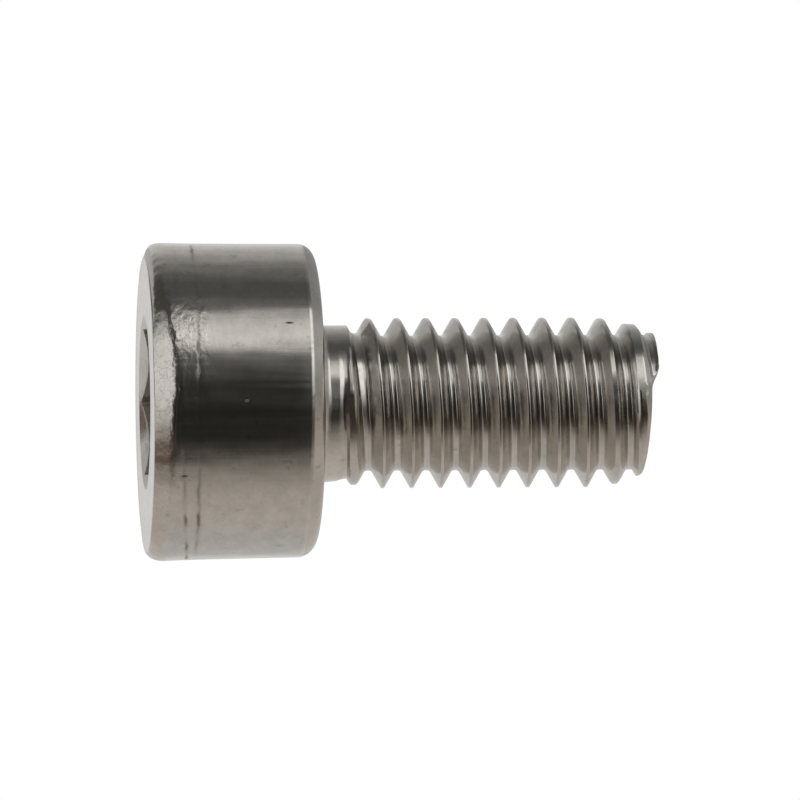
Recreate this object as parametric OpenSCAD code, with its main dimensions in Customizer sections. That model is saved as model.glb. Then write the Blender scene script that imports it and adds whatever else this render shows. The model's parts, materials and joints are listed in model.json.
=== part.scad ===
// Socket head cap screw with a hexagon socket and a rolled metric thread.
// It stands on its head: the socket face lies on the ground and the tip points up.
// The origin is the centre of the socket face, and +Z is the screw's axis. Millimetres.

/* [Head] */
// Diameter of the head's barrel
head_d = 5.4; // [5:0.02:6]
// Height of the head, from the socket face to the bearing face
head_h = 2.9; // [2.6:0.05:3.4]
// Rounding of the barrel's edge at the socket face
face_round = 0.3; // [0.1:0.01:0.4]
// Rounding of the barrel's edge at the bearing face
seat_round = 0.25; // [0.1:0.01:0.3]

/* [Hexagon socket] */
// Width of the socket across its flats
socket_w = 2.5; // [2:0.1:2.8]
// Depth of the socket's flats below the face
socket_depth = 1.4; // [1.2:0.05:1.6]
// Height of the cone at the bottom of the socket
socket_cone = 0.3; // [0.1:0.05:0.5]
// Width of the lead-in chamfer at the middle of each flat
socket_lead = 0.25; // [0.1:0.05:0.35]

/* [Neck] */
// Diameter of the plain neck between the head and the thread
neck_d = 2.68; // [2.6:0.02:2.76]
// Gap between the crests and the bearing face, so that what passes the thread lies flat
seat_clear = 0.02; // [0.01:0.01:0.06]

/* [Thread] */
// Length from the bearing face to the top of the lip at the tip
screw_l = 5.86; // [4:0.02:8]
// Diameter over the crests
crest_d = 2.92; // [2.84:0.02:3]
// Diameter at the bottom of the grooves
root_d = 2.32; // [2.24:0.02:2.5]
// Distance from one crest to the next
pitch = 0.5; // [0.46:0.02:0.6]
// Width of the flat on a full crest
crest_flat = 0.08; // [0.05:0.01:0.09]
// Rise of the rounded groove bottom towards the flanks
root_rise = 0.03; // [0.02:0.01:0.05]
// Height of the first full crest above the bearing face
first_crest = 0.925; // [0.9:0.025:1.2]

/* [Tip] */
// Diameter over the last, half formed crest
tip_d = 2.42; // [2.36:0.02:2.6]
// Length over which the crests fade towards the tip
tip_l = 1.22; // [0.8:0.02:1.6]
// Height of the rolled lip, the end of the last turn, above the end face
lip_h = 0.18; // [0.1:0.01:0.25]
// Part of a turn over which the lip rises
lip_turn = 0.65; // [0.5:0.05:0.8]
// Diameter of the dish that rolling leaves in the end face
dish_d = 2; // [1.4:0.1:2.1]
// Depth of that dish
dish_h = 0.12; // [0.05:0.01:0.3]

/* [Hidden] */
$fn = 96;
steel = [0.62, 0.6, 0.57];

head_r = head_d / 2;
neck_r = neck_d / 2;
crest_r = crest_d / 2;
root_r = root_d / 2;
tip_r = tip_d / 2;
barrel_l = head_h - face_round - seat_round;

// The socket: corners lie on the Y axis, and the chamfer is a 120 degree cone
socket_r = socket_w / 2;
socket_corner_r = socket_r / cos(30);
socket_turn = 30;
lead_slope = 30;
lead_h = socket_lead * tan(lead_slope);
// How far a cutter reaches out of the face that it enters
cut_over = 0.1;

// The neck's fillet ends just outside the crests. The neck is true a little past it,
// and the thread's facets stay inside its cylinder.
neck_fillet = max(crest_r - neck_r, 0) + seat_clear;
neck_straight = 0.05;
neck_l = neck_fillet + neck_straight;
neck_seam = 0.004;
// Overlap of the thread with the head that carries it
root_overlap = 0.15;

// The thread is a helical strip. Its turns are counted from the first full crest,
// which lies on the -X side. The strip starts two turns before it, as plain neck.
flank_angle = 30;
crest_side = 180;
segments = 48;
plain_turns = 2;
// The crest grows out of the neck in one turn, and the groove a little later
crest_fade = 1;
groove_start = -0.75;
groove_fade = 0.85;
// The lip runs on a little after its crest has reached the full length
lip_run = 0.31;
stations = round(segments * ((screw_l - first_crest) / pitch + lip_run + plain_turns));
last_turn = turn(stations);
end_z = screw_l - lip_h;
// Points of the strip in each section
section = 5;

function clamp(x) = min(max(x, 0), 1);
function smooth(x) = clamp(x) ^ 2 * (3 - 2 * clamp(x));
function mix(a, b, x) = a + (b - a) * x;

function turn(i) = i / segments - plain_turns;
function crest_z(t) = first_crest + pitch * t;

// Share of the tip's taper that is reached at a turn
function taper(t) = clamp((crest_z(t) - screw_l + tip_l) / tip_l) ^ 2;

// Radius of the crest at a turn, and of the groove on the head side of that crest
function crest_at(t) =
    mix(neck_r - neck_seam, crest_r, clamp((t + crest_fade) / crest_fade)) - (crest_r - tip_r) * taper(t);
function groove_at(t) = mix(neck_r - neck_seam, root_r, clamp((t - groove_start) / groove_fade));
function groove_edge_at(t) =
    mix(neck_r - neck_seam, root_r + root_rise, clamp((t - groove_start) / groove_fade));

// Half the width of a full thread at a radius
function half_width(r) = crest_flat / 2 + (crest_r - r) * tan(flank_angle);

// Height of the end face at a turn: flat, then rising along the lip
function end_at(t) = end_z + lip_h * smooth((t - last_turn + lip_turn) / lip_turn);

// A point at a radius, a height above the bearing face and a turn
function spot(r, z, t) =
    [r * cos(360 * t + crest_side), r * sin(360 * t + crest_side), head_h + z];

// One section of the strip, from the groove on the head side to the middle of the next groove
function strip_section(t) =
    let (
        z = crest_z(t),
        crest_w = half_width(crest_at(t)),
        groove_w = half_width(root_r + root_rise)
    )
    [
        spot(groove_edge_at(t), z - groove_w, t),
        spot(crest_at(t), z - crest_w, t),
        spot(crest_at(t), min(z + crest_w, end_at(t)), t),
        spot(groove_edge_at(t + 1), z + groove_w, t),
        spot(groove_at(t + 1), z + pitch / 2, t)
    ];

// The strip's points: its sections, the ring inside the head, the dish's rim and its middle
ring_z = min(crest_z(-plain_turns) + half_width(neck_r), 0) - root_overlap;
strip_points = [for (i = [0 : stations]) each strip_section(turn(i))];
ring_points = [for (i = [0 : segments - 1]) spot(neck_r - neck_seam, ring_z, turn(i))];
dish_points = [for (i = [0 : segments - 1]) spot(dish_d / 2, end_z, turn(stations + i))];
dish_middle = [0, 0, head_h + end_z - dish_h];

// Places in the list of points. Point 5 of a section is point 0 of the section a turn later.
function on_strip(i, j) = j < section ? section * i + j : section * (i + segments) + j - section;
function on_ring(i) = len(strip_points) + i % segments;
function on_dish(i) = len(strip_points) + segments + i % segments;
middle = len(strip_points) + 2 * segments;

function quad(a, b, c, d) = [[a, b, c], [a, c, d]];
function fan(a, rest) = [for (i = [0 : len(rest) - 2]) [a, rest[i], rest[i + 1]]];

// The first turn of the strip starts at point 2, and the last one ends there
first_end = segments;
last_start = stations - segments;
strip_faces = [
    for (i = [0 : stations - 1], j = [0 : section - 1])
        if ((i >= first_end || j >= 2) && (i < last_start || j < 2))
            each quad(on_strip(i, j), on_strip(i, j + 1), on_strip(i + 1, j + 1), on_strip(i + 1, j))
];
ring_faces = [
    for (i = [0 : segments - 2])
        each quad(on_ring(i), on_strip(i, 2), on_strip(i + 1, 2), on_ring(i + 1))
];
// Where the ring meets itself, beside the start of the strip
ring_join = fan(on_ring(segments - 1), [
    on_strip(segments - 1, 2),
    for (j = [2 : -1 : 0]) on_strip(segments, j),
    for (j = [4 : -1 : 2]) on_strip(0, j),
    on_ring(0)
]);
ring_cap = [[for (i = [0 : segments - 1]) on_ring(i)]];
end_faces = [
    for (i = [0 : segments - 1])
        each quad(on_strip(last_start + i, 2), on_dish(i), on_dish(i + 1), on_strip(last_start + i + 1, 2))
];
// The step at the end of the lip
lip_faces = concat(
    fan(on_dish(0), [for (j = [2 : 5]) on_strip(last_start, j)]),
    quad(on_dish(0), on_strip(stations, 0), on_strip(stations, 1), on_strip(stations, 2))
);
dish_faces = [for (i = [0 : segments - 1]) [on_dish(i), middle, on_dish(i + 1)]];

// Half section of the head with the neck: x is the radius and y the height
module head_section() {
    square([head_r - face_round, head_h - seat_round]);
    translate([0, face_round])
        square([head_r, barrel_l]);
    translate([0, face_round])
        square([head_r - seat_round, head_h - face_round]);
    translate([head_r - face_round, face_round])
        circle(r = face_round);
    translate([head_r - seat_round, head_h - seat_round])
        circle(r = seat_round);
    square([neck_r, head_h + neck_l]);
    translate([0, head_h])
        difference() {
            square([neck_r + neck_fillet, neck_fillet]);
            translate([neck_r + neck_fillet, neck_fillet])
                circle(r = neck_fillet);
        }
}

// The space that the hex key enters: chamfer, flats and cone
module socket() {
    translate([0, 0, -cut_over])
        cylinder(
            h = cut_over + lead_h,
            r1 = socket_r + socket_lead + cut_over / tan(lead_slope),
            r2 = socket_r
        );
    translate([0, 0, -cut_over])
        rotate(socket_turn)
            cylinder(h = cut_over + socket_depth, r = socket_corner_r, $fn = 6);
    translate([0, 0, socket_depth])
        cylinder(h = socket_cone, r1 = socket_r, r2 = 0);
}

// The rolled thread with its run-out, its tapered tip and the dished end
module thread() {
    polyhedron(
        points = concat(strip_points, ring_points, dish_points, [dish_middle]),
        faces = concat(
            strip_faces, ring_faces, ring_join, ring_cap, end_faces, lip_faces, dish_faces
        )
    );
}

module screw() {
    color(steel)
        difference() {
            union() {
                rotate_extrude()
                    head_section();
                thread();
            }
            socket();
        }
}

screw();
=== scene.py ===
"""Looks of the socket head cap screw: one dense stainless mesh, a studio surround and the camera."""

import json
import math

import bpy
import numpy as np
from mathutils import Matrix, Vector, noise


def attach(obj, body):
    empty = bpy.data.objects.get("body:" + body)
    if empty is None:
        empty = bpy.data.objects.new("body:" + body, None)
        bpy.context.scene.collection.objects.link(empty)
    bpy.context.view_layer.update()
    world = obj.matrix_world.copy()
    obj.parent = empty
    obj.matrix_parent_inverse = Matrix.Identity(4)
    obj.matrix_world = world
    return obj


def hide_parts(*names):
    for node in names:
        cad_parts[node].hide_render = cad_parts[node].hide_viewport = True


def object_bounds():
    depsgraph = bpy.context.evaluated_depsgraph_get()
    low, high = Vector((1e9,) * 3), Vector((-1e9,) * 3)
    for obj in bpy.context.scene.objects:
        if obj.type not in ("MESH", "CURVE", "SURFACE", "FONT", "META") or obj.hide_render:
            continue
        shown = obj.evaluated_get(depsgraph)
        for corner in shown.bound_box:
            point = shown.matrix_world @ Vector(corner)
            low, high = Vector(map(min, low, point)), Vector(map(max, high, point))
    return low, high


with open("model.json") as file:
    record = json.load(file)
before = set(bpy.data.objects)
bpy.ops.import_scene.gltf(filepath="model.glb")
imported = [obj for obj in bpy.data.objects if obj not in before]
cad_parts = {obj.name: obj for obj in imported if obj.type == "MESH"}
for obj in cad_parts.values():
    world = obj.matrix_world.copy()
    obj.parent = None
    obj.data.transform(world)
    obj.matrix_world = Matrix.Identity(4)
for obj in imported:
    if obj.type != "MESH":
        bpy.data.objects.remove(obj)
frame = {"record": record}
cad_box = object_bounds()

# Sizes are in millimetres, heights of the shank count from the bearing face
MM = 0.001
MOUNTS = {m["name"]: m for m in frame["record"]["mounts"]}
HEAD_R = MOUNTS["head_barrel"]["dims"]["r_mm"]
HEAD_H = MOUNTS["bearing_face"]["pos_m"][2] / MM
SCREW_L = cad_box[1].z / MM - HEAD_H

# Head. The barrel widens a little towards the face, and the head sits a little off the axis.
BARREL_TAPER = 0.0076
BARREL_TRUE_Z = 0.4
FLARE = 0.03
FLARE_L = 0.55
HEAD_LEAN = 0.0055
HEAD_SHIFT = 0.035
SEAT_ROUND = 0.26
SEAT_ROUND_SIDES = 0.045
SEAT_ROUND_SWING = 0.025

# The edge of the face starts at a crease, bulges and turns into the face in a small corner.
# It is wider on the -X side.
EDGE_W = 0.19
EDGE_W_SWING = 0.06
EDGE_BLEND = 0.075
EDGE_H = 0.23
EDGE_H_NEAR = 0.11
EDGE_BUMP = (0.075, 0.217, 0.055)
EDGE_START = math.tan(math.radians(14))
CORNER = 0.018

EDGE_PULL = 0.5
CORNER_PULL = 0.3
# The crease wavers: height of a wave, its grain round the barrel and its seed
EDGE_WAVES = [(0.018, 0.5, 3.1), (0.012, 0.16, 7.7)]

# Two folds run round the cold-formed skin near the face, with their shade painted dark into the colour.
# A fold swings up and down once a turn and wavers slowly and quickly. It breaks off in places, and is
# deeper
# in humps: depth, phase, half width.
FOLD_DEPTH = 0.006
FOLD_W = 0.038
FOLDS = [
    {
        "height": 0.6, "swing": 0.18, "lowest": 0.17, "slow": 0.02, "quick": 0.012,
        "unbroken": 0.5, "strength": 0.18, "humps": [(0.6, 0.4, 0.16)],
    },
    {
        "height": 0.79, "swing": 0.04, "lowest": 0.22, "slow": -0.02, "quick": 0.016,
        "unbroken": 0.8, "strength": 0.12,
        "humps": [(0.5, 0.05, 0.045), (0.55, 0.2, 0.045), (0.65, 0.38, 0.1)],
    },
]
FOLD_BREAK = 0.9
# Grain round the barrel and seed of the slow waver, the quick one and the breaks
FOLD_WAVES = [(0.4, 11.3), (0.11, 5.9), (0.3, 21.7)]

# Crinkles lie beside the folds: their share everywhere, and the hump that is added to it
CRINKLE = 0.003
CRINKLE_SIZE = (0.16, 0.07)
CRINKLE_SEED = 17.9
CRINKLED_BARREL = (0.12, (0.88, 0.175, 0.055))
CRINKLED_EDGE = (0.3, (0.5, 0.22, 0.13))
ROUGH_Z = 1.1
ROUGH_FADE = 0.35

SOCKET_R = 1.25
SOCKET_DEPTH = 1.4
SOCKET_CONE = 0.3
LEAD_R = 1.5
LEAD_SLOPE = math.tan(math.radians(30))
# Part of the cone that one point closes
CONE_MIDDLE = 0.1

# Neck and thread
NECK_R = 1.336
NECK_FILLET = 0.18
# The neck narrows from its fillet on, most on the +X side
NECK_SWELL = 0.017
NECK_SWELL_Z = 0.34
CREST_R = 1.457
ROOT_R = 1.157
PITCH = 0.5
CREST_FLAT = 0.045
FLANK_SLOPE = 1 / math.tan(math.radians(30))
CREST_SOFT = 0.008
ROOT_SOFT = 0.04
FIRST_CREST = 0.925
CREST_START = -0.85
CREST_FADE = 0.65
# The first groove starts with a shallow bite and deepens half a turn later
BITE = 0.04
BITE_START = -0.88
BITE_FADE = 0.08
GROOVE_START = -0.6
GROOVE_FADE = 1.0
# The crest beside the bite slopes down towards the head
RIDGE_SLOPE = 0.16
RIDGE_W = 0.09
RIDGE_END = -0.5
RIDGE_FADE = 0.4
# It lies a little nearer to the head, and behind it the groove's floor falls towards the tip
EARLY = 0.025
EARLY_END = -0.55
EARLY_FADE = 0.2
FLOOR_LEAN = 0.14
FLOOR_TURN = 0.2
FLOOR_HALF = 0.55
# Where the first groove fades into the neck: turn of the groove, height and slope of its wall.
# Up to RUNOUT_END a row of the mesh follows the edge of that wall.
RUNOUT = [(-0.8, 0.345, 0.15), (-0.5, 0.35, 0.3), (0.0, 0.555, FLANK_SLOPE)]
RUNOUT_SOFT = 0.05
RUNOUT_END = 0.12

# Tip. The end face leans a little and carries the lip, where the last turn runs out.
TIP_R = 1.19
TIP_L = 1.25
TAPER_STEP = 0.85
LIP_H = 0.17
END_Z = SCREW_L - LIP_H
END_LEAN = 0.05
LIP_START = 0.55
LIP_RISE = 0.45
LIP_END = 0.61
LIP_FALL = 0.06
END_SOFT = 0.08
LIP_SOFT = 0.07
DISH_R = 1.0
DISH_H = 0.12

# Length over which the mesh of the shank folds over the end, and the dish's rings as shares of its radius
FOLD_OVER = 0.3
DISH_RINGS = (0.75, 0.5, 0.25)

# Mesh resolution: columns round the shank, twice as many round the head. They are a multiple of 6,
# so that the hexagon's corners fall on columns.
COLUMNS = 162
FILLET_ROWS = 6
SEAT_ROWS = 3
SEAT_ROUND_ROWS = 12
PLAIN_ROWS = 6
ROUGH_ROWS = 52
CREASE_ROWS = 6
EDGE_ROWS = 18
CORNER_ROWS = 4
LEAD_ROWS = 3
FLAT_ROWS = 2
# Rows of the thread, and the step from a rounding to the first row of a flank
CREST_ROWS = 4
FLANK_ROWS = 4
ROOT_ROWS = 5
FLANK_STEP = 0.009
SHARP_ANGLE = math.radians(35)

# Nicks in the barrel, painted as shade in the colour and made rougher, without a dent in the mesh:
# phase of the turn, height, and size across, in depth and along
NICKS = [
    (0.168, 2.3, (0.03, 0.03, 0.095)),
    (0.249, 1.55, (0.03, 0.03, 0.04)),
    (0.326, 0.51, (0.04, 0.03, 0.095)),
]
NICK_FADE = (1.0, 0.4, 0.0, 1.0)

# Steel. Each noise has its grains to the millimetre along the axes, its detail and its roughness.
STREAK = ((9.0, 9.0, 0.35), 4.0)
GRAIN = ((40.0, 40.0, 25.0), 2.0)
WAVE = ((2.2, 2.2, 0.8), 1.0)
BLOTCH = ((2.6, 2.6, 3.6), 6.0, 0.75)
SCALES = ((7.0, 7.0, 9.0), 2.0)
PITS = ((7.0, 7.0, 6.0), 3.0)
STREAK_DEPTH = 0.0012
GRAIN_DEPTH = 0.0003
WAVE_DEPTH = 0.013
SCALES_DEPTH = 0.01
# A range of a noise, and what its ends become: darkness of seams and pits, and roughness
SEAM_RANGE = (0.03, 0.0, 0.0, 0.7)
PIT_RANGE = (0.63, 0.75, 0.0, 0.4)
ROUGH_RANGE = (0.3, 0.75, 0.13, 0.2)
BROACH_ROUGH = 0.38
# Tint at a level of the blotches
STEEL_TINTS = [
    (0.38, (0.655, 0.618, 0.588)),
    (0.5, (0.605, 0.58, 0.547)),
    (0.62, (0.55, 0.543, 0.502)),
]
# Painted shade in folds and nicks, and the dark seams and pits, take this colour
SHADE_AND_MARK_COLOUR = (0.28, 0.25, 0.22)

# Floor, a little below the screw
STAGE_HALF = 300.0
STAGE_DROP = 0.05
STAGE_COLOUR = (0.9, 0.9, 0.89, 1)
STAGE_GLOW = 0.3

# Camera, by its distance, the width that it sees and what it looks at
CAMERA_DISTANCE = 143.0
CAMERA_WIDTH = 13.71
CAMERA_TILT = math.radians(-5.4)
CAMERA_ROLL = 0.0042
CAMERA_TARGET = (-0.053, 0.0, HEAD_H + 1.484)
CAMERA_SENSOR = 36.0
CAMERA_CLIP = (0.01, 10.0)


def smooth_step(x):
    """A step from 0 to 1 with a soft start and a soft end."""
    x = np.clip(x, 0.0, 1.0)
    return x * x * (3 - 2 * x)


def soft_min(a, b, k):
    """The smaller of two values, with the corner rounded over a width k."""
    h = np.maximum(k - np.abs(a - b), 0.0)
    return np.minimum(a, b) - h * h / (4 * np.maximum(k, 1e-9))


def soft_max(a, b, k):
    return -soft_min(-a, -b, k)


def wrapped(phase):
    """A phase of the turn, brought between -0.5 and 0.5."""
    return (phase + 0.5) % 1.0 - 0.5


def hump(phase, centre, half):
    """1 at a phase of the turn, falling to 0 at a distance from it."""
    return 1 - smooth_step(abs(wrapped(phase - centre)) / half)


# Thread

def crest_radius(turn, z):
    """Radius of a crest: it grows out of the neck at the first turn and falls away at the tip."""
    grown = np.clip((turn - CREST_START) / CREST_FADE, 0, 1)
    above = z - FIRST_CREST - PITCH * turn
    taper = np.clip((z - TAPER_STEP * above - SCREW_L + TIP_L) / TIP_L, 0, 1) ** 2
    return NECK_R + (CREST_R - NECK_R) * grown - (CREST_R - TIP_R) * taper


def bite_share(turn):
    return smooth_step((turn - BITE_START) / BITE_FADE)


def groove_radius(turn, z):
    """Radius of the floor of the groove on the head side of the crest at a turn."""
    cut = (NECK_R - ROOT_R - BITE) * smooth_step((turn - GROOVE_START) / GROOVE_FADE)
    lean = FLOOR_LEAN * (1 - smooth_step(np.abs(turn - FLOOR_TURN) / FLOOR_HALF))
    behind = np.maximum(FIRST_CREST + PITCH * (turn - 0.5) - z, 0)
    return NECK_R - BITE * bite_share(turn) - cut + lean * behind


def flank_radius(turn, away):
    """Radius of the flanks of a crest at a distance from its middle, in pitches."""
    early = EARLY * smooth_step((EARLY_END - turn) / EARLY_FADE)
    return CREST_R - (np.abs(away * PITCH + early) - CREST_FLAT / 2) * FLANK_SLOPE


def runout_edge(turn):
    """Height and slope of the wall where the first groove fades into the neck."""
    turns, heights, slopes = zip(*RUNOUT)
    return np.interp(turn, turns, heights), np.interp(turn, turns, slopes)


def runout_radius(turn, z):
    """Radius of that wall: the neck's up to the edge, then falling towards the tip."""
    height, slope = runout_edge(turn)
    return NECK_R - slope * np.maximum(z - height, 0)


def neck_swell(phase, z):
    """How far the neck stands proud near its fillet."""
    share = np.clip((NECK_SWELL_Z - z) / (NECK_SWELL_Z - NECK_FILLET), 0, 1)
    return NECK_SWELL * math.sin(math.pi * phase) ** 2 * share


def thread_radius(phase, z):
    """Radius of the shank at a phase of the turn, 0 to 1 from the -X side, and a height."""
    crests = (z - FIRST_CREST) / PITCH - phase
    nearest = np.round(crests)
    away = crests - nearest
    turn = nearest + phase
    groove_turn = turn + (away > 0)
    ridge = RIDGE_SLOPE * smooth_step((RIDGE_END - turn) / RIDGE_FADE) * bite_share(turn)
    crest = crest_radius(turn, z) - ridge * np.maximum(RIDGE_W - away * PITCH, 0)
    groove = groove_radius(groove_turn, z)
    depth = np.clip((crest - groove) / (CREST_R - ROOT_R), 0, 1)
    top = soft_min(crest, flank_radius(turn, away), CREST_SOFT * depth)
    thread = soft_max(groove, top, ROOT_SOFT * depth)
    wall = runout_radius(groove_turn, z)
    soft = np.minimum(RUNOUT_SOFT * depth, NECK_R - wall + RUNOUT_SOFT * bite_share(turn))
    return soft_max(thread, wall, soft) + neck_swell(phase, z)


def lip_share(phase):
    """Share of the lip's height at a phase of the turn."""
    along = (phase - LIP_START) % 1.0
    return smooth_step(along / LIP_RISE) * (1 - smooth_step((along - LIP_END) / LIP_FALL))


def end_height(phase, radius=TIP_R):
    """Height of the end face at a phase and radius."""
    return END_Z + END_LEAN * radius * math.cos(2 * math.pi * phase)


def shank_section(phase, s):
    """Radii and heights at a phase and at distances s up the shank, folding over the end."""
    lip = lip_share(phase)
    end = end_height(phase) + (SCREW_L - end_height(phase)) * lip
    soft = END_SOFT + (LIP_SOFT - END_SOFT) * lip
    past = s - end
    edge_r = thread_radius(phase, end)
    share = np.clip(np.maximum(past, soft) / FOLD_OVER, 0, 1)
    face_r = edge_r + (DISH_R - edge_r) * share
    face_z = end + (end_height(phase, DISH_R) - end) * share
    wall_z = np.minimum(s, end - soft)
    wall_r = thread_radius(phase, wall_z)
    q = np.clip((past + soft) / (2 * soft), 0, 1)
    weights = ((1 - q) ** 2, 2 * q * (1 - q), q * q)
    radius = weights[0] * wall_r + weights[1] * edge_r + weights[2] * face_r
    height = weights[0] * wall_z + weights[1] * end + weights[2] * face_z
    return radius, height, past >= FOLD_OVER


# Head

def ripple(angle, height, size, seed):
    """Smooth noise over the barrel, -1 to 1, with grains of a size round the axis and along it."""
    across, along = size
    return noise.noise(Vector((
        HEAD_R * math.cos(angle) / across,
        HEAD_R * math.sin(angle) / across,
        height / along + seed,
    )))


def barrel_radius(z):
    return HEAD_R + BARREL_TAPER * (BARREL_TRUE_Z - z) + FLARE * np.exp(-z / FLARE_L)


def edge_height(phase, angle):
    """Height of the crease where the barrel ends; it is highest at the front and the back."""
    bump, centre, half = EDGE_BUMP
    height = EDGE_H + EDGE_H_NEAR * math.sin(2 * math.pi * phase) ** 2 + bump * hump(phase, centre, half)
    return height + sum(wave * ripple(angle, 0, (grain, 1), seed) for wave, grain, seed in EDGE_WAVES)


def fold_lines(phase, angle):
    """Height and strength of each fold at a phase."""
    slow, quick, breaks = [ripple(angle, 0, (grain, 1), seed) for grain, seed in FOLD_WAVES]
    lines = []
    for fold in FOLDS:
        height = fold["height"] - fold["swing"] * math.cos(2 * math.pi * (phase - fold["lowest"]))
        height += fold["slow"] * slow + fold["quick"] * quick
        strength = fold["strength"] + sum(depth * hump(phase, *where) for depth, *where in fold["humps"])
        whole = np.clip(fold["unbroken"] + FOLD_BREAK * breaks, 0, 1)
        lines.append((height, whole * strength))
    return lines


def crinkle_share(phase, least, more):
    depth, *where = more
    return least + depth * hump(phase, *where)


def head_relief(phase, angle, z, crease):
    """How far the skin stands proud near the face, the painted shade in its folds and how crinkled it is.
    """
    relief = np.zeros_like(z)
    painted_shade = np.zeros_like(z)
    for height, strength in fold_lines(phase, angle):
        groove = strength * np.exp(-(((z - height) / FOLD_W) ** 2))
        relief -= FOLD_DEPTH * groove
        painted_shade = np.maximum(painted_shade, groove)
    on_barrel = smooth_step((ROUGH_Z - z) / ROUGH_FADE) * crinkle_share(phase, *CRINKLED_BARREL)
    crinkled = np.where(z < crease, crinkle_share(phase, *CRINKLED_EDGE), on_barrel)
    grain = np.array([ripple(angle, h, CRINKLE_SIZE, CRINKLE_SEED) for h in z])
    return relief + CRINKLE * grain * crinkled, painted_shade, crinkled


def head_section(phase, angle):
    """Radii and heights of the head at a phase, from the neck's fillet to the socket's bottom."""
    crease = edge_height(phase, angle)
    side = math.cos(2 * math.pi * phase)
    seat_round = SEAT_ROUND + SEAT_ROUND_SIDES * side**2 - SEAT_ROUND_SWING * side
    seat_z = HEAD_H - seat_round
    seat_r = barrel_radius(seat_z)
    crease_r = barrel_radius(crease)
    face_r = crease_r - EDGE_W - EDGE_W_SWING * side
    wall = socket_radius(angle)
    wall_z = (LEAD_R - wall) * LEAD_SLOPE
    lead_start = (LEAD_R - CORNER, CORNER * LEAD_SLOPE)
    fillet_r = NECK_R + neck_swell(phase, NECK_FILLET) + NECK_FILLET
    blend_top = crease + EDGE_BLEND
    blend_end = crease - EDGE_BLEND
    blend_r = crease_r - EDGE_START * EDGE_BLEND
    edge_pull = (blend_r - EDGE_START * blend_end * EDGE_PULL, blend_end * EDGE_PULL)
    corner_pull = (face_r + CORNER_PULL * CORNER, 0)
    cone_end = (CONE_MIDDLE * wall, SOCKET_DEPTH + (1 - CONE_MIDDLE) * SOCKET_CONE)
    parts = [
        arc((fillet_r, HEAD_H + NECK_FILLET), NECK_FILLET, 180, 270, FILLET_ROWS),
        line((fillet_r, HEAD_H), (seat_r - seat_round, HEAD_H), SEAT_ROWS),
        arc((seat_r - seat_round, seat_z), seat_round, 90, 0, SEAT_ROUND_ROWS),
        barrel(seat_z, ROUGH_Z, PLAIN_ROWS),
        barrel(ROUGH_Z, blend_top, ROUGH_ROWS),
        bend((barrel_radius(blend_top), blend_top), (crease_r, crease), (blend_r, blend_end), CREASE_ROWS),
        bend((blend_r, blend_end), edge_pull, (face_r + CORNER, CORNER), EDGE_ROWS),
        bend((face_r + CORNER, CORNER), corner_pull, (face_r - CORNER, 0), CORNER_ROWS),
        line((face_r - CORNER, 0), (LEAD_R + CORNER, 0), FLAT_ROWS),
        bend((LEAD_R + CORNER, 0), (LEAD_R, 0), lead_start, LEAD_ROWS),
        line(lead_start, (wall, wall_z), FLAT_ROWS),
        line((wall, wall_z), (wall, SOCKET_DEPTH), FLAT_ROWS),
        line((wall, SOCKET_DEPTH), cone_end, FLAT_ROWS),
    ]
    radius, height = np.concatenate(parts, axis=1)
    relief, painted_shade, crinkled = head_relief(phase, angle, height, crease)
    skin = np.clip((radius - face_r) / CORNER, 0, 1) * (height < ROUGH_Z)
    in_socket = (height >= wall_z) & (height < SOCKET_DEPTH + SOCKET_CONE)
    broached = (radius < wall + CORNER) & in_socket
    return radius + relief * skin, height, painted_shade * skin, crinkled * skin, broached


def socket_radius(angle):
    """Distance from the axis to the hexagon's wall; corners lie on the Y axis."""
    sixth = math.radians(60)
    return SOCKET_R / math.cos((angle - math.pi / 2) % sixth - sixth / 2)


# Pieces of a section: radii and heights without the first point

def arc(centre, radius, start, end, count):
    angles = np.radians(np.linspace(start, end, count + 1)[1:])
    return np.array((centre[0] + radius * np.cos(angles), centre[1] + radius * np.sin(angles)))


def line(start, end, count):
    steps = np.linspace(0, 1, count + 1)[1:]
    return np.array([a + (b - a) * steps for a, b in zip(start, end)])


def bend(start, pull, end, count):
    """A curve that leaves its start and reaches its end in the direction of a third point."""
    q = np.linspace(0, 1, count + 1)[1:]
    return np.array([
        a * (1 - q) ** 2 + b * 2 * q * (1 - q) + c * q * q for a, b, c in zip(start, pull, end)
    ])


def barrel(start, end, count):
    heights = np.linspace(start, end, count + 1)[1:]
    return np.array((barrel_radius(heights), heights))


# Mesh

class Builder:
    """Collects points and faces, dropping the edges of faces that have shrunk to a point."""

    def __init__(self):
        self.points = []
        self.marks = {"painted_shade": [], "crinkle": [], "broach": []}
        self.faces = []

    def add(self, x, y, z, painted_shade=0.0, crinkle=0.0, broach=0.0):
        self.points.append((x, y, z))
        self.marks["painted_shade"].append(painted_shade)
        self.marks["crinkle"].append(crinkle)
        self.marks["broach"].append(broach)
        return len(self.points) - 1

    def spin(self, radius, height, angle):
        return self.add(radius * math.cos(angle), radius * math.sin(angle), height)

    def face(self, *corners):
        kept = [c for i, c in enumerate(corners) if c != corners[i - 1]]
        if len(kept) > 2:
            self.faces.append(kept)

    def band(self, lower, upper):
        """Faces between two closed rings; the upper one lies further along the outward side."""
        count = len(lower)
        for i in range(count):
            k = (i + 1) % count
            self.face(lower[i], lower[k], upper[k], upper[i])

    def build(self, name):
        data = bpy.data.meshes.new(name)
        data.from_pydata([tuple(c * MM for c in p) for p in self.points], [], self.faces)
        for mark, values in self.marks.items():
            data.attributes.new(mark, "FLOAT", "POINT").data.foreach_set("value", values)
        data.validate()
        data.shade_smooth()
        data.set_sharp_from_angle(angle=SHARP_ANGLE)
        made = bpy.data.objects.new(name, data)
        bpy.context.scene.collection.objects.link(made)
        return made


def turn_angles(count):
    phases = np.arange(count) / count
    return list(zip(phases, math.pi + 2 * math.pi * phases))


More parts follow.
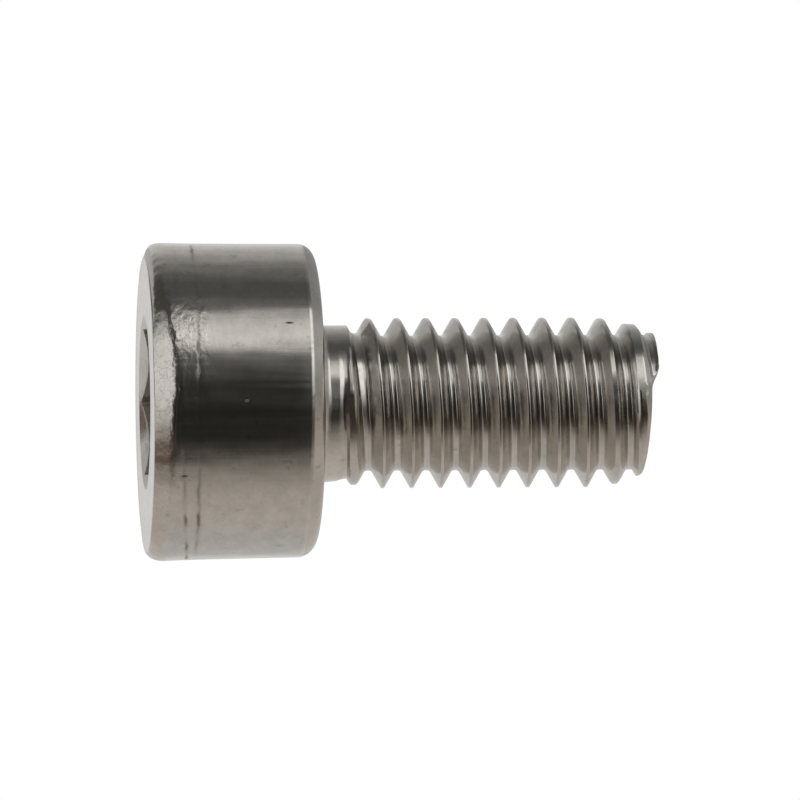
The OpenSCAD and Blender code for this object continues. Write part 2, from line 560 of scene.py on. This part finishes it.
def build_head(mesh, neck_ring):
    """The head hangs on the neck's ring, which has half as many points as the rings of the head."""
    columns = []
    for phase, angle in turn_angles(2 * COLUMNS):
        column = []
        for radius, height, *marks in zip(*head_section(phase, angle)):
            x, y = radius * math.cos(angle), radius * math.sin(angle)
            free = np.clip((radius - NECK_R) / NECK_FILLET, 0, 1) if height >= HEAD_H else 1
            x_leant = x - free * (HEAD_SHIFT + HEAD_LEAN * height)
            column.append(mesh.add(x_leant, y, height + free * HEAD_LEAN * x, *marks))
        columns.append(column)
    rings = list(zip(*columns))
    first = rings[0]
    for i in range(COLUMNS):
        k = (i + 1) % COLUMNS
        mesh.face(first[2 * i], first[2 * i + 1], first[2 * k], neck_ring[k], neck_ring[i])
    for upper, lower in zip(rings, rings[1:]):
        mesh.band(lower, upper)
    middle = mesh.add(-HEAD_SHIFT, 0, SOCKET_DEPTH + SOCKET_CONE, broach=1.0)
    mesh.band([middle] * len(first), rings[-1])


def pitch_rows():
    """Rows in one pitch, from a crest: close where crest and root turn into the long flanks."""
    crest_turn = CREST_SOFT / FLANK_SLOPE
    root_turn = ROOT_SOFT / FLANK_SLOPE
    edge = CREST_FLAT / 2
    foot = edge + (CREST_R - ROOT_R) / FLANK_SLOPE
    half = np.concatenate([
        [0],
        np.linspace(edge - crest_turn, edge + crest_turn, CREST_ROWS),
        np.linspace(edge + crest_turn + FLANK_STEP, foot - root_turn - FLANK_STEP, FLANK_ROWS),
        np.linspace(foot - root_turn, foot + root_turn, ROOT_ROWS),
    ])
    return np.concatenate([half, [PITCH / 2], PITCH - half[:0:-1]]) / PITCH


def build_shank(mesh, neck_ring):
    """A grid that climbs one pitch a turn, shrunk to a ring at the neck and at the dish."""
    turns = turn_angles(COLUMNS)
    end_ring = [
        mesh.spin(DISH_R, HEAD_H + end_height(phase, DISH_R), angle) for phase, angle in turns
    ]
    lowest = math.floor((NECK_FILLET - FIRST_CREST) / PITCH) - 1
    highest = math.ceil((SCREW_L + FOLD_OVER - FIRST_CREST) / PITCH)
    in_pitch = pitch_rows()
    rows = np.concatenate([turn + in_pitch for turn in range(lowest, highest + 1)])
    grid = []
    for i, (phase, angle) in enumerate(turns):
        column = []
        distances = FIRST_CREST + PITCH * (rows + phase)
        # The row nearest to the edge of the run-out is moved onto it
        runout_turn = wrapped(phase)
        if runout_turn < RUNOUT_END:
            edge = runout_edge(runout_turn)[0]
            distances[np.argmin(np.abs(distances - edge))] = edge
        for s, radius, height, ended in zip(distances, *shank_section(phase, distances)):
            if s <= NECK_FILLET:
                column.append(neck_ring[i])
            elif ended:
                column.append(end_ring[i])
            else:
                column.append(mesh.spin(radius, HEAD_H + height, angle))
        grid.append(column)
    grid.append(grid[0][len(in_pitch):])
    for here, there in zip(grid, grid[1:]):
        for j in range(min(len(here), len(there)) - 1):
            mesh.face(here[j], there[j], there[j + 1], here[j + 1])

    # The dish in the end face
    ring = end_ring
    for share in DISH_RINGS:
        radius = DISH_R * share
        inner = [
            mesh.spin(radius, HEAD_H + end_height(phase, radius) - DISH_H * (1 - share), angle)
            for phase, angle in turns
        ]
        mesh.band(ring, inner)
        ring = inner
    middle = mesh.add(0, 0, HEAD_H + END_Z - DISH_H)
    mesh.band(ring, [middle] * COLUMNS)


def build_screw():
    mesh = Builder()
    neck_ring = [
        mesh.spin(NECK_R + neck_swell(phase, NECK_FILLET), HEAD_H + NECK_FILLET, angle)
        for phase, angle in turn_angles(COLUMNS)
    ]
    build_head(mesh, neck_ring)
    build_shank(mesh, neck_ring)
    return mesh.build("screw_steel")


# Materials

def add_node(tree, kind, settings=None, **inputs):
    """A shader node with its settings, and values or links for its sockets by name or as i0, i1"""
    made = tree.nodes.new(kind)
    for name, value in (settings or {}).items():
        setattr(made, name, value)
    for name, value in inputs.items():
        numbered = name[0] == "i" and name[1:].isdigit()
        socket = made.inputs[int(name[1:]) if numbered else name]
        if isinstance(value, bpy.types.NodeSocket):
            tree.links.new(value, socket)
        else:
            socket.default_value = value
    return made


def maths(tree, operation, *values):
    made = add_node(
        tree, "ShaderNodeMath", {"operation": operation}, **{f"i{k}": v for k, v in enumerate(values)}
    )
    return made.outputs[0]


def noise_over(tree, place, scale, detail, rough=0.5):
    """Noise, 0 to 1, with so many grains to the millimetre along each axis."""
    spread = add_node(
        tree, "ShaderNodeVectorMath", {"operation": "MULTIPLY"}, i0=place, i1=[s / MM for s in scale]
    )
    return add_node(
        tree, "ShaderNodeTexNoise", Vector=spread.outputs[0], Scale=1.0, Detail=detail, Roughness=rough
    ).outputs[0]


def mapped(tree, value, low, high, to_low, to_high):
    """A value between two limits, spread over the range between two others."""
    return add_node(
        tree, "ShaderNodeMapRange", Value=value, i1=low, i2=high, i3=to_low, i4=to_high
    ).outputs[0]


def bumped(tree, height, depth, normal=None):
    """Normal of a relief of a depth in millimetres."""
    made = add_node(tree, "ShaderNodeBump", Height=height, Distance=depth * MM)
    if normal:
        tree.links.new(normal, made.inputs["Normal"])
    return made.outputs[0]


def nick_mask(tree, place, centre, size):
    """1 inside a small ellipsoid, fading to 0 at its edge; sizes in millimetres."""
    kind = "ShaderNodeVectorMath"
    off = add_node(tree, kind, {"operation": "SUBTRACT"}, i0=place, i1=[c * MM for c in centre])
    spread = add_node(tree, kind, {"operation": "DIVIDE"}, i0=off.outputs[0], i1=[s * MM for s in size])
    far = add_node(tree, kind, {"operation": "LENGTH"}, i0=spread.outputs[0])
    return mapped(tree, far.outputs["Value"], *NICK_FADE)


def steel_material():
    """Cold-formed stainless steel: drawn streaks, fine grain, blotches of tint, painted shade in folds and
    nicks.
    """
    material = bpy.data.materials.new("stainless_steel")
    material.use_nodes = True
    tree = material.node_tree
    shader = tree.nodes["Principled BSDF"]
    shader.inputs["Metallic"].default_value = 1.0
    place = add_node(tree, "ShaderNodeTexCoord").outputs["Object"]
    streak, grain, wave, blotch, scales, pits = [
        noise_over(tree, place, *of) for of in (STREAK, GRAIN, WAVE, BLOTCH, SCALES, PITS)
    ]

    # Painted shade: folds and nicks are darkened in the colour, and made rougher
    painted_shade = add_node(tree, "ShaderNodeAttribute", {"attribute_name": "painted_shade"}).outputs["Fac"]
    for phase, height, size in NICKS:
        angle = math.pi + 2 * math.pi * phase
        spot = (HEAD_R * math.cos(angle) - HEAD_SHIFT, HEAD_R * math.sin(angle), height)
        painted_shade = maths(tree, "MAXIMUM", painted_shade, nick_mask(tree, place, spot, size))

    tint = add_node(tree, "ShaderNodeValToRGB", Fac=blotch)
    tint.color_ramp.elements.new(0.5)
    for stop, (share, colour) in zip(tint.color_ramp.elements, STEEL_TINTS):
        stop.position = share
        stop.color = colour + (1,)
    crinkle = add_node(tree, "ShaderNodeAttribute", {"attribute_name": "crinkle"}).outputs["Fac"]
    seam = maths(tree, "ABSOLUTE", maths(tree, "SUBTRACT", scales, 0.5))
    seam = maths(tree, "MULTIPLY", mapped(tree, seam, *SEAM_RANGE), crinkle)
    pit = mapped(tree, pits, *PIT_RANGE)
    dark = maths(tree, "MAXIMUM", maths(tree, "MAXIMUM", painted_shade, seam), pit)
    shade = add_node(tree, "ShaderNodeMix", {"data_type": "RGBA"}, i0=dark, i6=tint.outputs[0])
    shade.inputs[7].default_value = SHADE_AND_MARK_COLOUR + (1,)
    tree.links.new(shade.outputs[2], shader.inputs["Base Color"])

    broach = add_node(tree, "ShaderNodeAttribute", {"attribute_name": "broach"}).outputs["Fac"]
    matt = maths(tree, "MAXIMUM", mapped(tree, streak, *ROUGH_RANGE), painted_shade)
    matt = maths(tree, "MAXIMUM", matt, maths(tree, "MULTIPLY", broach, BROACH_ROUGH))
    tree.links.new(matt, shader.inputs["Roughness"])
    normal = bumped(tree, streak, STREAK_DEPTH)
    normal = bumped(tree, wave, WAVE_DEPTH, normal)
    normal = bumped(tree, grain, GRAIN_DEPTH, normal)
    normal = bumped(tree, maths(tree, "MULTIPLY", scales, crinkle), SCALES_DEPTH, normal)
    tree.links.new(normal, shader.inputs["Normal"])
    return material


# Studio. What a surface seen by the camera mirrors, by the turn of that surface in degrees from
# the camera's side towards -X: turn, level and tint. The lists go from surfaces that face down
# over those that stand upright to those that face up.

WHITE = (1.0, 0.99, 0.97)
WARM = (1.0, 0.92, 0.84)
BROWN = (1.0, 0.72, 0.6)
GREEN = (0.98, 1.03, 0.9)
STUDIO_FACE = [(-90, 0.72, WHITE), (90, 0.72, WHITE)]
STUDIO_DEEP = [
    (-90, 0.65, WHITE),
    (-1, 0.65, WHITE),
    (1, 0.17, BROWN),
    (22, 0.17, BROWN),
    (26, 0.62, WHITE),
    (45, 0.5, WHITE),
    (90, 0.5, WHITE),
]
STUDIO_LOW = [
    (-90, 0.65, WHITE),
    (-60, 0.57, WARM),
    (-34, 0.55, WARM),
    (-27, 0.33, WARM),
    (-22, 0.16, BROWN),
    (-17, 0.16, BROWN),
    (-12, 0.42, WARM),
    (-3, 0.63, WHITE),
    (1, 0.89, WHITE),
    (20, 0.94, WHITE),
    (26, 0.62, WHITE),
    (31, 0.25, WHITE),
    (34, 0.075, WARM),
    (48, 0.08, WARM),
    (58, 0.22, WHITE),
    (72, 0.6, WHITE),
    (90, 0.75, WHITE),
]
STUDIO_GAP = [
    (-90, 0.65, WHITE),
    (-34, 0.5, WARM),
    (-27, 0.2, WARM),
    (-21, 0.08, BROWN),
    (-5, 0.05, BROWN),
    (10, 0.05, WHITE),
    (35, 0.07, WHITE),
    (48, 0.1, WHITE),
    (58, 0.22, WHITE),
    (72, 0.6, WHITE),
    (90, 0.75, WHITE),
]
STUDIO_SIDE = [
    (-90, 0.95, WHITE),
    (-75, 0.6, WHITE),
    (-60, 0.54, WHITE),
    (-45, 0.56, WARM),
    (-35, 0.49, WARM),
    (-28, 0.365, WARM),
    (-22, 0.145, WARM),
    (-17, 0.05, WARM),
    (-13, 0.02, GREEN),
    (4, 0.016, GREEN),
    (11, 0.045, GREEN),
    (15, 0.1, WHITE),
    (17.4, 0.26, WHITE),
    (20, 0.74, WHITE),
    (24, 0.92, WHITE),
    (28, 0.8, WHITE),
    (32, 0.63, WHITE),
    (34.5, 0.33, WHITE),
    (37, 0.14, WHITE),
    (42, 0.095, WHITE),
    (49, 0.1, WHITE),
    (57, 0.21, WHITE),
    (65, 0.39, WHITE),
    (75, 0.62, WHITE),
    (90, 0.95, WHITE),
]
STUDIO_HIGH = [
    (-90, 0.7, WHITE),
    (-40, 0.57, WARM),
    (-22, 0.33, WARM),
    (-12, 0.1, WARM),
    (-3, 0.15, WARM),
    (2, 0.42, WHITE),
    (8, 0.85, WHITE),
    (16, 1.3, WHITE),
    (34, 1.3, WHITE),
    (36.5, 0.3, WHITE),
    (40, 0.12, WHITE),
    (48, 0.13, WHITE),
    (65, 0.38, WHITE),
    (90, 0.8, WHITE),
]
STUDIO_TOP = [
    (-90, 0.6, WHITE),
    (-45, 0.56, WARM),
    (-18, 0.48, WARM),
    (-8, 0.38, WARM),
    (4, 0.29, WHITE),
    (13, 0.42, WHITE),
    (18, 0.5, WHITE),
    (28, 0.47, WHITE),
    (36, 0.34, WHITE),
    (42, 0.29, WHITE),
    (65, 0.3, WHITE),
    (90, 0.4, WHITE),
]
# What leans up or down, 1 or -1, from a first to a second sine mirrors more and more of the next list
STUDIO_ZONES = [
    (1, 0.05, 0.09, STUDIO_HIGH),
    (1, 0.17, 0.26, STUDIO_TOP),
    (-1, 0.06, 0.1, STUDIO_GAP),
    (-1, 0.2, 0.27, STUDIO_LOW),
    (-1, 0.82, 0.86, STUDIO_DEEP),
    (-1, 0.95, 0.99, STUDIO_FACE),
]
STUDIO_MOST = 1.5


def studio_ramp(tree, share, stops):
    ramp = add_node(tree, "ShaderNodeValToRGB", Fac=share)
    elements = ramp.color_ramp.elements
    while len(elements) < len(stops):
        elements.new(0.5)
    for element, (degrees, level, tint) in zip(elements, stops):
        element.position = (degrees + 90) / 180
        element.color = [level * t / STUDIO_MOST for t in tint] + [1]
    return ramp.outputs[0]


def eased(tree, value, low, high):
    return add_node(
        tree, "ShaderNodeMapRange", {"interpolation_type": "SMOOTHSTEP"}, Value=value, i1=low, i2=high
    ).outputs[0]


def build_world():
    world = bpy.data.worlds.new("studio")
    bpy.context.scene.world = world
    world.use_nodes = True
    tree = world.node_tree
    tree.nodes.clear()
    way = add_node(tree, "ShaderNodeTexCoord").outputs["Generated"]
    between = add_node(
        tree, "ShaderNodeVectorMath", {"operation": "ADD"}, i0=way, i1=towards_camera()
    ).outputs[0]
    facing = add_node(tree, "ShaderNodeVectorMath", {"operation": "NORMALIZE"}, i0=between).outputs[0]
    x, y, z = add_node(tree, "ShaderNodeSeparateXYZ", Vector=facing).outputs
    x, y, down = [maths(tree, "MULTIPLY", part, -1.0) for part in (x, y, z)]
    turn = maths(tree, "ARCTAN2", x, y)
    share = maths(tree, "MULTIPLY_ADD", turn, 1 / math.pi, 0.5)
    colour = studio_ramp(tree, share, STUDIO_SIDE)
    for side, low, high, stops in STUDIO_ZONES:
        weight = eased(tree, z if side > 0 else down, low, high)
        other = studio_ramp(tree, share, stops)
        colour = add_node(
            tree, "ShaderNodeMix", {"data_type": "RGBA"}, i0=weight, i6=colour, i7=other
        ).outputs[2]
    surround = add_node(tree, "ShaderNodeBackground", Color=colour, Strength=STUDIO_MOST)
    backdrop = add_node(tree, "ShaderNodeBackground", Color=(1, 1, 1, 1))
    seen = add_node(tree, "ShaderNodeLightPath").outputs["Is Camera Ray"]
    both = add_node(
        tree, "ShaderNodeMixShader", i0=seen, i1=surround.outputs[0], i2=backdrop.outputs[0]
    )
    add_node(tree, "ShaderNodeOutputWorld", Surface=both.outputs[0])


def build_floor():
    half = STAGE_HALF * MM
    data = bpy.data.meshes.new("floor")
    corners = [(-half, -half, 0), (half, -half, 0), (half, half, 0), (-half, half, 0)]
    data.from_pydata(corners, [], [(0, 1, 2, 3)])
    floor = bpy.data.objects.new("floor", data)
    floor.location.z = -STAGE_DROP * MM
    bpy.context.scene.collection.objects.link(floor)
    for kind in ("diffuse", "glossy", "transmission", "volume_scatter", "shadow"):
        setattr(floor, f"visible_{kind}", False)
    material = bpy.data.materials.new("pale_floor")
    material.use_nodes = True
    tree = material.node_tree
    tree.nodes.clear()
    paint = add_node(tree, "ShaderNodeBsdfDiffuse", Color=STAGE_COLOUR)
    glow = add_node(tree, "ShaderNodeEmission", Color=(1, 1, 1, 1), Strength=STAGE_GLOW)
    pale = add_node(tree, "ShaderNodeAddShader", i0=paint.outputs[0], i1=glow.outputs[0])
    clear = add_node(tree, "ShaderNodeBsdfTransparent")
    below = add_node(tree, "ShaderNodeNewGeometry").outputs["Backfacing"]
    sided = add_node(tree, "ShaderNodeMixShader", i0=below, i1=pale.outputs[0], i2=clear.outputs[0])
    add_node(tree, "ShaderNodeOutputMaterial", Surface=sided.outputs[0])
    data.materials.append(material)


def towards_camera():
    return Vector((0, -math.cos(CAMERA_TILT), math.sin(CAMERA_TILT)))


def build_camera():
    data = bpy.data.cameras.new("camera")
    camera = bpy.data.objects.new("camera", data)
    bpy.context.scene.collection.objects.link(camera)
    data.sensor_width = CAMERA_SENSOR
    data.lens = data.sensor_width * CAMERA_DISTANCE / CAMERA_WIDTH
    data.clip_start, data.clip_end = CAMERA_CLIP
    back = towards_camera()
    right = Vector((0, 0, 1))
    right = (right - right.dot(back) * back).normalized()
    up = back.cross(right)
    right, up = right - CAMERA_ROLL * up, up + CAMERA_ROLL * right
    place = (Vector(CAMERA_TARGET) + back * CAMERA_DISTANCE) * MM
    turn = Matrix((right, up, back)).transposed().to_4x4()
    camera.matrix_world = Matrix.Translation(place) @ turn
    bpy.context.scene.camera = camera


screw = build_screw()
screw.data.materials.append(steel_material())
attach(screw, "root")
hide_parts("screw")

build_world()
build_floor()
build_camera()
bpy.context.scene.view_settings.view_transform = "Standard"
